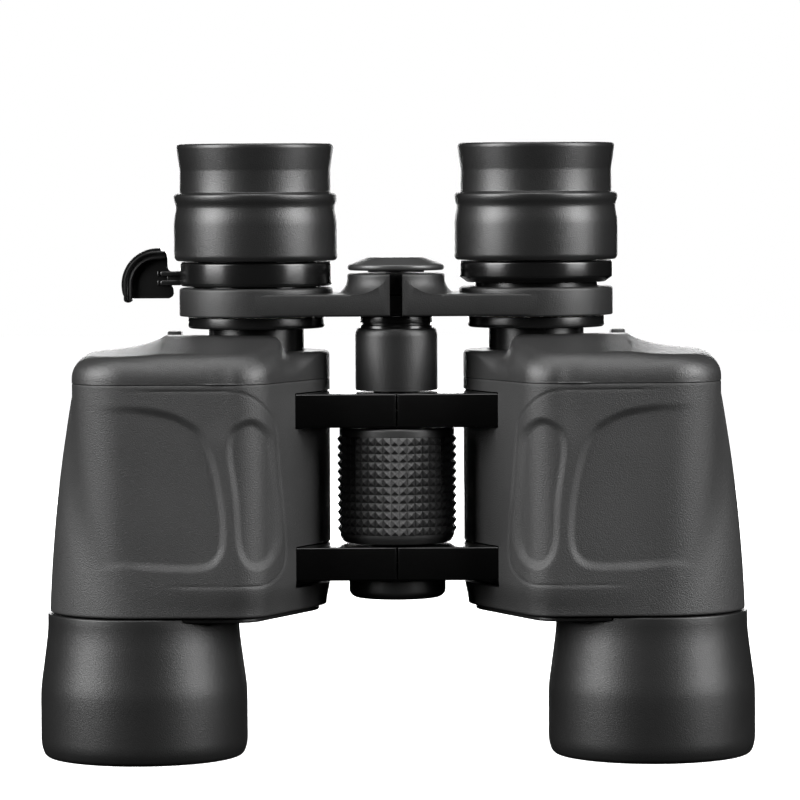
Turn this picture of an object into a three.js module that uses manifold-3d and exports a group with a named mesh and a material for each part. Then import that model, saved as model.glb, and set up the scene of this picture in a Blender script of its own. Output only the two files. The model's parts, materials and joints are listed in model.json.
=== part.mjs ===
// Zoom binoculars with Porro prisms, standing on the two objective rims with the eyepieces up.
// Millimetres. +Z runs along the optical axes to the eyepieces, +X points to the user's left barrel,
// -Y is the top side in use. The origin is the middle of the plane that the rims stand on.
import * as THREE from 'three';
import { mergeVertices } from 'three/addons/utils/BufferGeometryUtils.js';
import Module from 'manifold-3d';

const wasm = await Module();
wasm.setup();

// ---------------------------------------------------------------- driving dimensions
const GAP = 0.3; // between pieces that touch on the real object
const ROUND_LARGE = 24; // facets round a barrel or an eyecup
const ROUND_SMALL = 16; // facets round an inner piece
const PLAN_POINTS = 28; // corners of a housing section
const LUG_POINTS = 20; // corners of a hinge lug's plan
const DOME_POINTS = 20; // corners of a section of the rear cover's dome

const OBJECTIVE = { x: 66.5, y: -5.3 }; // optical axis at the objective
const EYEPIECE = { x: 37, y: 10.7 }; // optical axis at the eyepiece
const HINGE = { x: 0, y: 2.7 };
const PRISM_AXIS = { x: 43.75, y: -12.05 }; // beam between the two prisms
const PRISM_SHIFT = Math.hypot(OBJECTIVE.x - PRISM_AXIS.x, OBJECTIVE.y - PRISM_AXIS.y);
const PRISM_HALF_WIDTH = 9;
const PRISM_RIDGE_FLAT = 1;

const BODY_BOTTOM = 38;
const BODY_TOP = 98;
const BODY_REACH = 90.9; // outer side at the bottom, from the hinge plane
const REACH_TAPER = [2.2, 4.6]; // linear and square loss of reach over the height
const OUTER_FRONT = [{ x: 66.5, y: -12.3, r: 17.4 }, { x: 69.5, y: -16.3, r: 14.5 }]; // bottom, top
const INNER_FRONT = { x: 47, y: -17.2, r: 14.1 };
const EYE_END = { x: 36.3, y: 9.7, r: 18.6 };
const FOOT_DRAW = { by: 1.1, height: 8 }; // how far the inner corners draw in at the bottom
const ARMOUR_WALL = 1.7;
const CASTING_WALL = 2;
const FLOOR = 2.5;

const LUG_LEVELS = [[45.9, 54.6], [85.8, 94.6]];
const LUG_RADIUS = 14.4;
const LUG_FRONT = -12.3;
const LUG_CORNER = 2; // corner radius where a lug enters the armour
const LUG_ROOT = { x: 32, y: 9.2 };
const LUG_SLIT = 0.15;
const LUG_DISC = 11;
const LOWER_POCKET = 44; // the armour is cut away to here under the lower lug
const FOLD_SECTOR = 58; // degrees of full-height knuckle behind the side plane

const AXLE_RADIUS = 6;
const SPINDLE_RADIUS = 4;
const PIN_RADIUS = 1.4;
const PIN_Z = 62;
const FOCUS_TRAVEL = 7;
const WHEEL_Z = [55, 85.3];
const WHEEL_RADIUS = 15.4;
const HUB_RADIUS = 12.6;

const COVER_BOTTOM = 98.35;
const COVER_WALL = 2.2;
const COVER_EDGE = 5.5; // fillet round the cover's top
const COLLAR_TOP = 105.3;
const COLLAR_RADIUS = 18;
const COLLAR_BORE = 13;
const PRISM_ROOM_TOP = 102.6; // the collar is cut away to here beside the rear prism and its clip
const DOME_TOP = 109.6;
const DOME_BREAK_Y = -4.8; // the dome is level behind this line, and slopes down in front of it
const DOME_SLOPE = 9.6; // degrees
const DOME_RINGS = [ // height, radius round the prism beam, reach and radius of the outer shoulder
  [104, 14.9, 80, 14], [105.8, 14.9, 76, 14], [107.2, 14.7, 66.5, 14], [108.8, 13.9, 61.8, 13],
  [DOME_TOP, 12.6, 60.2, 12],
];
const SHOULDER_Y = -8.8;
const EYELET = { x: [57, 60.7], bore: 1.9, y: 21.6, z: 106 };

const SHELF_Z = [75.4, 78.2];
const ARM_Z = [114.6, 120.4];
const RING_Z = [114.4, 121.9];
const BOSS_Z = [114.8, 125.6];
const BOSS_SPLIT = 120.1;
const RING_RADIUS = 20.3;
const RING_BORE = 16.7;
const BOSS_RADIUS = 12.8;
const BOSS_DISC = 9.5;
const BRIDGE_SLIT = 1.15;

const OCULAR_RADIUS = 15.1;
const OCULAR_BORE = 13.4;
const TUBE_RADIUS = 12.65;
const LENS_RADIUS = 21.5;
const LEVER_REACH = 35;

// ---------------------------------------------------------------- materials
const finish = (color, roughness, metalness = 0) =>
  new THREE.MeshStandardMaterial({ color, roughness, metalness });
const ARMOUR_RUBBER = finish(0x3a3b3c, 0.85);
const COVER_PLASTIC = finish(0x3d3e3f, 0.7);
const GLOSS_PAINT = finish(0x0b0b0c, 0.15);
const SATIN_PAINT = finish(0x1b1c1d, 0.4);
const CUP_RUBBER = finish(0x202122, 0.8);
const GRIP_RUBBER = finish(0x333435, 0.7);
const BLACK_PLASTIC = finish(0x151617, 0.35);
const GLASS = finish(0xcfe0e8, 0.03);
const STEEL = finish(0xa5a8ab, 0.3, 1);
const BRASS = finish(0xb08d4a, 0.35, 1);

// ---------------------------------------------------------------- solids and booleans
function toSolid(geometry) {
  const bare = geometry.clone();
  bare.deleteAttribute('normal');
  bare.deleteAttribute('uv');
  const merged = mergeVertices(bare, 1e-4);
  const corners = merged.index.array;
  const points = merged.attributes.position;
  const triangles = [];
  let volume = 0;
  for (let i = 0; i < corners.length; i += 3) {
    const [a, b, c] = [corners[i], corners[i + 1], corners[i + 2]];
    if (a === b || b === c || c === a) continue;
    triangles.push([a, b, c]);
    const [p, q, r] = [a, b, c].map((k) => new THREE.Vector3().fromBufferAttribute(points, k));
    volume += p.dot(q.cross(r));
  }
  const outward = volume > 0 ? triangles : triangles.map(([a, b, c]) => [a, c, b]);
  return new wasm.Manifold(new wasm.Mesh({
    numProp: 3,
    vertProperties: new Float32Array(points.array),
    triVerts: new Uint32Array(outward.flat()),
  }));
}

function toGeometry(solid) {
  const mesh = solid.getMesh();
  const geometry = new THREE.BufferGeometry();
  geometry.setAttribute('position', new THREE.BufferAttribute(new Float32Array(mesh.vertProperties), 3));
  geometry.setIndex(new THREE.BufferAttribute(new Uint32Array(mesh.triVerts), 1));
  geometry.computeVertexNormals();
  return geometry;
}

const join = (first, ...others) => others.reduce((whole, piece) => whole.add(piece), first);
const cut = (first, ...others) => others.reduce((whole, piece) => whole.subtract(piece), first);

// A profile of [radius, height] points turned about the Z axis through a centre.
function turned(profile, facets = ROUND_SMALL, centre = { x: 0, y: 0 }) {
  const onAxis = profile[0][0] === 0 && profile[profile.length - 1][0] === 0;
  const closed = onAxis ? profile : [...profile, profile[0]];
  const outline = closed.map(([radius, height]) => new THREE.Vector2(radius, height));
  const geometry = new THREE.LatheGeometry(outline, facets);
  geometry.rotateX(Math.PI / 2);
  geometry.translate(centre.x, centre.y, 0);
  return toSolid(geometry);
}

const disc = (radius, low, high, centre = HINGE, facets = ROUND_LARGE) =>
  turned([[0, low], [radius, low], [radius, high], [0, high]], facets, centre);

const tube = (bore, radius, low, high, facets = ROUND_SMALL) =>
  turned([[bore, low], [radius, low], [radius, high], [bore, high]], facets);

function block(x, y, z) {
  const geometry = new THREE.BoxGeometry(x[1] - x[0], y[1] - y[0], z[1] - z[0]);
  geometry.translate((x[0] + x[1]) / 2, (y[0] + y[1]) / 2, (z[0] + z[1]) / 2);
  return toSolid(geometry);
}

function prism(outline, low, high) {
  const shape = new THREE.Shape(outline.map(([x, y]) => new THREE.Vector2(x, y)));
  const geometry = new THREE.ExtrudeGeometry(shape, { depth: high - low, bevelEnabled: false });
  geometry.translate(0, 0, low);
  return toSolid(geometry);
}

// The convex outline round a set of circles, one corner for each outward direction.
function hullOutline(circles, inset = 0, count = PLAN_POINTS) {
  return Array.from({ length: count }, (_, i) => {
    const angle = (2 * Math.PI * i) / count;
    const [ux, uy] = [Math.cos(angle), Math.sin(angle)];
    const reach = (c) => c.x * ux + c.y * uy + c.r;
    const far = circles.reduce((best, c) => (reach(c) > reach(best) ? c : best));
    return [far.x + (far.r - inset) * ux, far.y + (far.r - inset) * uy];
  });
}

// A solid through rings of points, each ring with the same number of corners.
function loft(rings) {
  const count = rings[0].length;
  const last = (rings.length - 1) * count;
  const index = [];
  for (let k = 0; k + 1 < rings.length; k++) {
    for (let i = 0; i < count; i++) {
      const [a, b] = [k * count + i, k * count + ((i + 1) % count)];
      index.push(a, b, b + count, a, b + count, a + count);
    }
  }
  for (let i = 1; i + 1 < count; i++) {
    index.push(0, i + 1, i, last, last + i, last + i + 1);
  }
  const geometry = new THREE.BufferGeometry();
  geometry.setAttribute('position', new THREE.Float32BufferAttribute(rings.flat(2), 3));
  geometry.setIndex(index);
  return toSolid(geometry);
}

const atHeight = (outline, z) => outline.map(([x, y]) => [x, y, z]);
const plate = (circles, low, high, count = PLAN_POINTS, inset = 0) =>
  loft([low, high].map((z) => atHeight(hullOutline(circles, inset, count), z)));

// Mirrors a solid of the left half into the right half.
function mirrored(solid) {
  const geometry = toGeometry(solid);
  geometry.scale(-1, 1, 1);
  return toSolid(geometry);
}

// ---------------------------------------------------------------- housing shape
const mix = (a, b, t) => a + (b - a) * t;
const clamp01 = (t) => Math.min(1, Math.max(0, t));
const smooth = (t) => clamp01(t) ** 2 * (3 - 2 * clamp01(t));

// Circles whose hull is the housing's plan at a height: objective end, outer front corner,
// inner front corner and eyepiece end. The inner corners draw in near the bottom.
function planCircles(z) {
  const t = clamp01((z - BODY_BOTTOM) / (BODY_TOP - BODY_BOTTOM));
  const reach = BODY_REACH - REACH_TAPER[0] * t - REACH_TAPER[1] * t * t;
  const drawn = FOOT_DRAW.by * smooth((BODY_BOTTOM + FOOT_DRAW.height - z) / FOOT_DRAW.height);
  const [low, high] = OUTER_FRONT;
  return [
    { ...OBJECTIVE, r: reach - OBJECTIVE.x },
    { x: mix(low.x, high.x, t), y: mix(low.y, high.y, t), r: mix(low.r, high.r, t) },
    { ...INNER_FRONT, r: INNER_FRONT.r - drawn },
    { ...EYE_END, r: EYE_END.r - drawn },
  ];
}

const BODY_SECTIONS = [0, 5, 24, 46, 60].map((rise) => BODY_BOTTOM + rise);

function bodyLoft(inset, low, high) {
  const inner = BODY_SECTIONS.filter((z) => z > low && z < high);
  return loft([low, ...inner, high].map((z) => atHeight(hullOutline(planCircles(z), inset), z)));
}

// ---------------------------------------------------------------- knuckles of the two hinges
// Everything that the left half may not fill: the other side of the slit, and the fold's sector.
function foldCutter(slit, low, high) {
  const angle = THREE.MathUtils.degToRad(FOLD_SECTOR);
  const far = 60;
  return prism([
    [slit, HINGE.y], [HINGE.x + far * Math.cos(angle), HINGE.y + far * Math.sin(angle)],
    [-far, far], [-far, -far], [slit, -far],
  ], low, high);
}

// Splits a solid of the left half into its knuckle: full height on its own side of the slit, and a
// whole disc in its own level. The other half's disc turns in the space left in the other level.
function knuckle(solid, side, slit, discRadius, bore, [low, middle, high]) {
  const own = side === 'left' ? [middle + GAP / 2, high] : [low, middle - GAP / 2];
  const other = side === 'left' ? [low - 1, middle + GAP / 2] : [middle - GAP / 2, high + 1];
  const sector = cut(solid, foldCutter(slit, low - 5, high + 5), disc(discRadius + GAP, ...other));
  return cut(sector.add(disc(discRadius, ...own)), disc(bore, low - 5, high + 5));
}

// ---------------------------------------------------------------- the main castings
function lugPlan(grow) {
  return [
    { ...HINGE, r: LUG_RADIUS + grow },
    { x: 0, y: LUG_FRONT + LUG_CORNER, r: LUG_CORNER + grow },
    { x: LUG_ROOT.x, y: LUG_FRONT + LUG_CORNER, r: LUG_CORNER + grow },
    { ...LUG_ROOT, r: LUG_CORNER + grow },
  ];
}

function hingeLug(side, [low, high], cavity) {
  const whole = plate(lugPlan(0), low, high, LUG_POINTS);
  const levels = [low, (low + high) / 2, high];
  return cut(knuckle(whole, side, LUG_SLIT, LUG_DISC, AXLE_RADIUS + GAP, levels), cavity);
}

// The casting that holds the prisms, with its two hinge lugs.
function housing(side) {
  const inset = ARMOUR_WALL + GAP;
  const cavity = bodyLoft(inset + CASTING_WALL, BODY_BOTTOM + FLOOR, BODY_TOP + 1);
  const prismHole = plate([PRISM_AXIS, EYEPIECE].map((axis) => ({ ...axis, r: 9.8 })), 36, 42, 24);
  const barrelHole = disc(19.9, 36, 42, OBJECTIVE);
  const shell = cut(bodyLoft(inset, BODY_BOTTOM, BODY_TOP), cavity, prismHole, barrelHole);
  const lugs = LUG_LEVELS.map((level) => hingeLug(side, level, cavity));
  return join(shell, ...lugs);
}

// The rubber skin round the casting, with a pocket round each lug.
function armour() {
  const core = bodyLoft(ARMOUR_WALL, BODY_BOTTOM - 1, BODY_TOP + 1);
  const [[, lowerTop], [upperBottom, upperTop]] = LUG_LEVELS;
  const pockets = [
    plate(lugPlan(GAP), LOWER_POCKET, lowerTop + GAP, LUG_POINTS),
    plate(lugPlan(GAP), upperBottom - GAP, upperTop + GAP, LUG_POINTS),
  ];
  return cut(bodyLoft(0, BODY_BOTTOM, BODY_TOP), core, ...pockets);
}

function frontCover() {
  const [low, high] = [BODY_BOTTOM - 1.4, BODY_BOTTOM - GAP];
  const sheet = plate(planCircles(BODY_BOTTOM), low, high, PLAN_POINTS, 2);
  return cut(sheet, disc(25.4, low - 1, high + 1, OBJECTIVE));
}

// ---------------------------------------------------------------- rear cover
// The low part of the cover, level with the collar, with a rounded edge.
function coverBase(wall, bottom) {
  const circles = planCircles(BODY_TOP);
  const edge = COVER_EDGE - wall;
  const steps = 2;
  const rings = [atHeight(hullOutline(circles, wall), bottom)];
  for (let i = 0; i <= steps; i++) {
    const angle = (Math.PI / 2) * (i / steps);
    const outline = hullOutline(circles, wall + edge * (1 - Math.cos(angle)));
    rings.push(atHeight(outline, COLLAR_TOP - wall - edge * (1 - Math.sin(angle))));
  }
  return loft(rings);
}

// The dome over the rear prism, with a hollow shoulder on its outer side and a sloping front.
function coverDome() {
  const rings = DOME_RINGS.map(([z, beamRadius, reach, shoulderRadius]) => atHeight(hullOutline([
    { ...PRISM_AXIS, r: beamRadius },
    { x: reach - shoulderRadius, y: SHOULDER_Y, r: shoulderRadius },
  ], 0, DOME_POINTS), z));
  const above = new THREE.BoxGeometry(200, 80, 20);
  above.translate(0, -40, 10);
  above.rotateX(THREE.MathUtils.degToRad(DOME_SLOPE));
  above.translate(0, DOME_BREAK_Y, DOME_TOP);
  return cut(loft(rings), toSolid(above));
}

// An eyelet for the neck strap on the underside, behind the dome.
function strapEyelet() {
  const [low, high] = EYELET.x;
  const outline = [
    [13.2, 99], [22.7, 99], [25.2, 101.5], [25.2, 107], [24, 109.3], [21.8, 110.2], [13.2, 110.2],
  ];
  const shape = new THREE.Shape(outline.map(([y, z]) => new THREE.Vector2(y, z)));
  const geometry = new THREE.ExtrudeGeometry(shape, { depth: high - low, bevelEnabled: false });
  geometry.rotateX(Math.PI / 2);
  geometry.rotateZ(Math.PI / 2);
  geometry.translate(low, 0, 0);
  const hole = new THREE.CylinderGeometry(EYELET.bore, EYELET.bore, 10, 12);
  hole.rotateZ(Math.PI / 2);
  hole.translate((low + high) / 2, EYELET.y, EYELET.z);
  return cut(toSolid(geometry), toSolid(hole));
}

function rearCover() {
  const cavity = coverBase(COVER_WALL, COVER_BOTTOM - 1);
  const outside = join(coverBase(0, COVER_BOTTOM), coverDome(), strapEyelet());
  const clipReach = [OBJECTIVE, PRISM_AXIS].map((axis) => ({ ...axis, r: PRISM_HALF_WIDTH + 2 }));
  const prismRoom = plate(clipReach, COVER_BOTTOM - 1, PRISM_ROOM_TOP, ROUND_SMALL);
  const collar = cut(disc(COLLAR_RADIUS, COVER_BOTTOM, COLLAR_TOP, EYEPIECE), prismRoom);
  return cut(cut(outside, cavity).add(collar), disc(COLLAR_BORE, COVER_BOTTOM - 2, DOME_TOP + 5, EYEPIECE));
}

// ---------------------------------------------------------------- objective end
const barrelProfile = [
  [17.6, 46], [19, 23.6], [21.9, 23.6], [21.9, 11.2], [24.4, 0], [25.6, 0], [26.6, 0.9],
  [27.05, 2.6], [27.05, 18], [26.1, 24.5], [25, 34], [25, 37.7], [19.6, 37.7], [19.6, 46],
];

// Half of a lens section: a spherical face of the given radius, from the axis to the rim.
function lensFace(vertex, curvature, rim, steps = 2) {
  return Array.from({ length: steps + 1 }, (_, i) => {
    const radius = (rim * i) / steps;
    return [radius, vertex + (curvature === 0 ? 0 : radius ** 2 / (2 * curvature))];
  });
}

const lens = (rim, low, lowCurve, high, highCurve, facets = ROUND_SMALL) =>
  turned([...lensFace(low, lowCurve, rim), ...lensFace(high, highCurve, rim).reverse()], facets);

// ---------------------------------------------------------------- prisms, shelf and clips
// Turns a shape drawn across one prism into place: s runs along the shift, z up.
function acrossPrism(from, to, outline, halfWidth, turn = 0) {
  const shape = new THREE.Shape(outline.map(([s, z]) => new THREE.Vector2(s, z)));
  const geometry = new THREE.ExtrudeGeometry(shape, { depth: 2 * halfWidth, bevelEnabled: false });
  geometry.translate(0, 0, -halfWidth);
  geometry.rotateX(Math.PI / 2);
  geometry.rotateZ(Math.atan2(to.y - from.y, to.x - from.x) + turn);
  geometry.translate((from.x + to.x) / 2, (from.y + to.y) / 2, 0);
  return toSolid(geometry);
}

// A right-angle prism with rounded ends. up is +1 with its ridge above the base, or -1 below it.
function porroPrism(from, to, base, up) {
  const ridge = base + up * (PRISM_SHIFT - PRISM_RIDGE_FLAT);
  const [low, high] = up > 0 ? [base, ridge] : [ridge, base];
  const ends = [from, to].map((axis) => ({ x: axis.x, y: axis.y, r: PRISM_HALF_WIDTH }));
  const roof = [
    [-PRISM_SHIFT, base], [PRISM_SHIFT, base],
    [PRISM_RIDGE_FLAT, ridge], [-PRISM_RIDGE_FLAT, ridge],
  ];
  return plate(ends, low, high, ROUND_SMALL).intersect(acrossPrism(from, to, roof, 20));
}

// A sprung strap over the prism's ridge, with a foot on the shelf at each side.
function prismClip(from, to, base, up) {
  const top = base + up * (PRISM_SHIFT - PRISM_RIDGE_FLAT + GAP);
  const foot = base + up * 0.1;
  const inside = PRISM_HALF_WIDTH + 0.4;
  const sheet = 0.7;
  const half = [
    [11.2, foot], [11.2, foot + up * sheet], [inside + sheet, foot + up * sheet],
    [inside + sheet, top + up * sheet],
  ];
  const inner = [[inside, top], [inside, foot]];
  const opposite = (points) => points.map(([s, z]) => [-s, z]).reverse();
  const outline = [...half, ...opposite(half), ...opposite(inner), ...inner];
  return acrossPrism(from, to, outline, 3.5, Math.PI / 2);
}

function prismShelf() {
  const inset = ARMOUR_WALL + GAP + CASTING_WALL + GAP;
  const [low, high] = SHELF_Z;
  const sheet = plate(planCircles(low), low, high, PLAN_POINTS, inset + 0.3);
  const windows = [OBJECTIVE, PRISM_AXIS, EYEPIECE].map((axis) => disc(8, low - 1, high + 1, axis, ROUND_SMALL));
  return cut(sheet, ...windows);
}

// ---------------------------------------------------------------- bridge and eyepieces
function eyepieceArm(side) {
  const ring = turned([
    [0, RING_Z[0]], [RING_RADIUS, RING_Z[0]], [RING_RADIUS, RING_Z[1] - 1],
    [RING_RADIUS - 1, RING_Z[1]], [0, RING_Z[1]],
  ], ROUND_LARGE, EYEPIECE);
  const arm = plate([{ ...EYEPIECE, r: RING_RADIUS }, { ...HINGE, r: BOSS_RADIUS - 0.5 }], ...ARM_Z);
  const boss = turned([
    [0, BOSS_Z[0]], [BOSS_RADIUS, BOSS_Z[0]], [BOSS_RADIUS, BOSS_Z[1] - 1],
    [BOSS_RADIUS - 1, BOSS_Z[1]], [0, BOSS_Z[1]],
  ], ROUND_LARGE, HINGE);
  const whole = join(arm, ring, boss);
  const levels = [BOSS_Z[0], BOSS_SPLIT, BOSS_Z[1]];
  const split = knuckle(whole, side, BRIDGE_SLIT, BOSS_DISC, SPINDLE_RADIUS + GAP, levels);
  return cut(split, disc(RING_BORE, RING_Z[0] - 1, RING_Z[1] + 1, EYEPIECE));
}

const tubeProfile = [
  [11.3, 93.5], [TUBE_RADIUS, 93.5], [TUBE_RADIUS, 111.2], [18.05, 111.2], [18.05, 114], [11.3, 114],
];

const eyecupProfile = [
  [15.4, 128.9], [21.1, 128.9], [21.65, 129.9], [21.65, 146], [20, 147], [20, 152.9],
  [20.85, 159.2], [20.5, 159.8], [18.9, 159.8], [17.4, 152.3], [15.4, 150.9],
];

const zoomRingProfile = [
  [15.4, 118.2], [16.3, 118.2], [16.3, 122.3], [19.6, 122.3], [20.1, 122.8], [20.1, 128.1],
  [19.6, 128.6], [15.4, 128.6],
];

const diopterRingProfile = [
  [15.4, 117.8], [16.3, 117.8], [16.3, 123.3], [18.9, 123.5], [20.3, 124.6], [20.3, 128.1],
  [19.8, 128.6], [15.4, 128.6],
];

// The eyepiece's fixed barrel, with a window round its outer side for the zoom key.
function ocularHousing() {
  const barrel = turned([
    [OCULAR_BORE, 115.6], [OCULAR_RADIUS, 115.6], [OCULAR_RADIUS, 150.6], [14.4, 151.4],
    [10.2, 151.4], [10.2, 150.2], [11.4, 150.2], [11.4, 143.5], [OCULAR_BORE, 143.5],
  ]);
  const half = THREE.MathUtils.degToRad(60);
  const steps = 6;
  const arc = (radius) => Array.from({ length: steps + 1 }, (_, i) => {
    const angle = half * ((2 * i) / steps - 1);
    return [radius * Math.cos(angle), radius * Math.sin(angle)];
  });
  return cut(barrel, prism([...arc(20), ...arc(9).reverse()], 124, 127));
}

// The cam tube inside the eyepiece, with the slanted slot that drives the zoom lens.
function camSleeve() {
  const slot = new THREE.BoxGeometry(8, 2.2, 17);
  slot.rotateX(THREE.MathUtils.degToRad(40));
  slot.translate(12.5, 0, 129);
  return cut(tube(12.1, 13.1, 116, 141.5), toSolid(slot));
}

// The zoom thumb lever: a quarter-round blade with a bead on its rim and two lugs to the ring.
function zoomLever() {
  const arcCentre = { x: LEVER_REACH - 12.5, z: 120 };
  const arc = Array.from({ length: 7 }, (_, i) => {
    const angle = (Math.PI / 2) * (1 - i / 6);
    return [arcCentre.x + 12.5 * Math.cos(angle), arcCentre.z + 12.5 * Math.sin(angle)];
  });
  const blade = [...arc, [LEVER_REACH, 119.2], [34, 118.2], [32.6, 118.2], [31.8, 119.5], [21.8, 119.5],
    [21, 120.3], [21, 123], [20.4, 123], [20.4, 126.8], [22.5, 126.8]];
  const shape = new THREE.Shape(blade.map(([x, z]) => new THREE.Vector2(x, z)));
  const geometry = new THREE.ExtrudeGeometry(shape, { depth: 4, bevelEnabled: false });
  geometry.translate(0, 0, -2);
  geometry.rotateX(Math.PI / 2);
  return toSolid(geometry);
}

// ---------------------------------------------------------------- centre column
function hingeAxle() {
  const shaft = tube(SPINDLE_RADIUS + GAP, AXLE_RADIUS, 42.3, 99.5);
  const slot = block([-10, 10], [-1.8, 1.8], [PIN_Z - 2, PIN_Z + FOCUS_TRAVEL + 3]);
  return cut(shaft, slot);
}

function crossCylinder(radius, length, z) {
  const geometry = new THREE.CylinderGeometry(radius, radius, length, 16);
  geometry.rotateZ(Math.PI / 2);
  geometry.translate(0, 0, z);
  return toSolid(geometry);
}

function focusSpindle() {
  const rod = turned([[0, 58], [SPINDLE_RADIUS, 58], [SPINDLE_RADIUS, 125.3], [0, 125.3]]);
  return cut(rod, crossCylinder(PIN_RADIUS + GAP, 12, PIN_Z));
}

const wheelHubProfile = [
  [AXLE_RADIUS + GAP, WHEEL_Z[0]], [HUB_RADIUS, WHEEL_Z[0]], [HUB_RADIUS, WHEEL_Z[1]],
  [AXLE_RADIUS + GAP, WHEEL_Z[1]], [AXLE_RADIUS + GAP, 74], [9.3, 73], [9.3, 59.5], [AXLE_RADIUS + GAP, 58.5],
];

const wheelGripProfile = [
  [HUB_RADIUS + GAP, WHEEL_Z[0]], [13.9, WHEEL_Z[0]], [15.1, WHEEL_Z[0] + 1.4], [WHEEL_RADIUS, 57.6],
  [WHEEL_RADIUS, 83.2], [15.1, 83.6], [15.1, WHEEL_Z[1]], [HUB_RADIUS + GAP, WHEEL_Z[1]],
];

const upperTubeProfile = [
  [AXLE_RADIUS + GAP, 95], [10.8, 95], [10.6, 110.3], [10.25, 111.2], [9.8, 111.2],
  [9.8, 97.4], [AXLE_RADIUS + GAP, 97.4],
];

const guideSleeveProfile = [
  [SPINDLE_RADIUS + GAP, 101], [9.5, 101], [9.5, 112], [9.1, 112.2], [9.1, 112.6], [9.5, 112.8],
  [9.5, 114.5], [SPINDLE_RADIUS + GAP, 114.5],
];

const bridgeCapProfile = [
  [0, 125.9], [7.4, 125.9], [7.4, 126.5], [12.4, 126.5], [12.7, 126.8], [12.7, 127.8],
  [12.3, 128.1], [7.4, 129.9], [0, 129.9],
];

const endCapProfile = [
  [0, 40.5], [11.6, 40.5], [12.7, 41.6], [12.7, 45.6], [AXLE_RADIUS + GAP, 45.6],
  [AXLE_RADIUS + GAP, 42], [0, 42],
];

// ---------------------------------------------------------------- assembly
const binoculars = new THREE.Group();

function group(parent, x = 0, y = 0, turn = 0) {
  const made = new THREE.Group();
  made.position.set(x, y, 0);
  made.rotation.z = turn;
  parent.add(made);
  return made;
}

function piece(parent, name, solid, material) {
  const mesh = new THREE.Mesh(toGeometry(solid), material);
  mesh.name = name;
  parent.add(mesh);
}

function addBody(side, place) {
  const half = group(binoculars);
  piece(half, `${side}_housing`, place(housing(side)), GLOSS_PAINT);
  piece(half, `${side}_armour`, place(armour()), ARMOUR_RUBBER);
  piece(half, `${side}_rear_cover`, place(rearCover()), COVER_PLASTIC);
  piece(half, `${side}_front_cover`, place(frontCover()), SATIN_PAINT);
  piece(half, `${side}_prism_shelf`, place(prismShelf()), STEEL);
  const rear = [OBJECTIVE, PRISM_AXIS, SHELF_Z[1] + GAP, 1];
  const front = [PRISM_AXIS, EYEPIECE, SHELF_Z[0] - GAP, -1];
  piece(half, `${side}_rear_prism`, place(porroPrism(...rear)), GLASS);
  piece(half, `${side}_front_prism`, place(porroPrism(...front)), GLASS);
  piece(half, `${side}_rear_prism_clip`, place(prismClip(...rear)), STEEL);
  piece(half, `${side}_front_prism_clip`, place(prismClip(...front)), STEEL);
  piece(half, `${side}_eyepiece_arm`, place(eyepieceArm(side)), SATIN_PAINT);
}

function addObjective(side, sign) {
  const axis = group(binoculars, sign * OBJECTIVE.x, OBJECTIVE.y);
  piece(axis, `${side}_objective_barrel`, turned(barrelProfile, ROUND_LARGE), SATIN_PAINT);
  piece(axis, `${side}_objective_ring`, tube(18.8, 21.6, 12.9, 14.9), BLACK_PLASTIC);
  piece(axis, `${side}_objective_crown_lens`, lens(LENS_RADIUS, 13.4, 90, 20.6, -70), GLASS);
  piece(axis, `${side}_objective_flint_lens`, lens(LENS_RADIUS, 20.9, -70, 23.2, 0), GLASS);
}

function addEyepiece(side, sign) {
  const axis = group(binoculars, sign * EYEPIECE.x, EYEPIECE.y, sign < 0 ? Math.PI : 0);
  piece(axis, `${side}_eyepiece_tube`, turned(tubeProfile), BLACK_PLASTIC);
  piece(axis, `${side}_field_lens`, lens(11, 95, 0, 99, -24), GLASS);
  piece(axis, `${side}_ocular_housing`, ocularHousing(), BLACK_PLASTIC);
  piece(axis, `${side}_cam_sleeve`, camSleeve(), BRASS);
  piece(axis, `${side}_zoom_cell`, tube(9.2, 11.8, 120, 128), BLACK_PLASTIC);
  piece(axis, `${side}_zoom_lens`, lens(8.9, 122.8, -30, 125.2, 30), GLASS);
  piece(axis, `${side}_eye_lens`, lens(11.1, 145.4, 0, 150.4, -24), GLASS);
  piece(axis, `${side}_eye_lens_ring`, tube(9.6, 11.1, 143.7, 145.1), BLACK_PLASTIC);
  piece(axis, `${side}_eyecup`, turned(eyecupProfile, ROUND_LARGE), CUP_RUBBER);
  return axis;
}

function addZoomControl(axis) {
  const key = block([13.4, 15.1], [-1.5, 1.5], [124.6, 126.4]);
  piece(axis, 'zoom_ring', turned(zoomRingProfile, ROUND_LARGE), GLOSS_PAINT);
  piece(axis, 'zoom_lever', zoomLever(), BLACK_PLASTIC);
  piece(axis, 'zoom_key', key, STEEL);
}

function addCentreColumn() {
  const axis = group(binoculars, HINGE.x, HINGE.y);
  piece(axis, 'hinge_axle', hingeAxle(), STEEL);
  piece(axis, 'hinge_end_cap', turned(endCapProfile, ROUND_LARGE), SATIN_PAINT);
  piece(axis, 'axle_nut', tube(AXLE_RADIUS + GAP, 8.6, 97.7, 100.3), BRASS);
  piece(axis, 'upper_hinge_tube', turned(upperTubeProfile, ROUND_LARGE), SATIN_PAINT);
  piece(axis, 'focus_wheel_hub', turned(wheelHubProfile), BLACK_PLASTIC);
  piece(axis, 'focus_wheel_grip', turned(wheelGripProfile, ROUND_LARGE), GRIP_RUBBER);
  piece(axis, 'focus_spindle', focusSpindle(), STEEL);
  piece(axis, 'focus_drive_pin', crossCylinder(PIN_RADIUS, 16.6, PIN_Z), STEEL);
  piece(axis, 'guide_sleeve', turned(guideSleeveProfile, ROUND_LARGE), GLOSS_PAINT);
  piece(axis, 'bridge_cap', turned(bridgeCapProfile, ROUND_LARGE), SATIN_PAINT);
}

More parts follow.
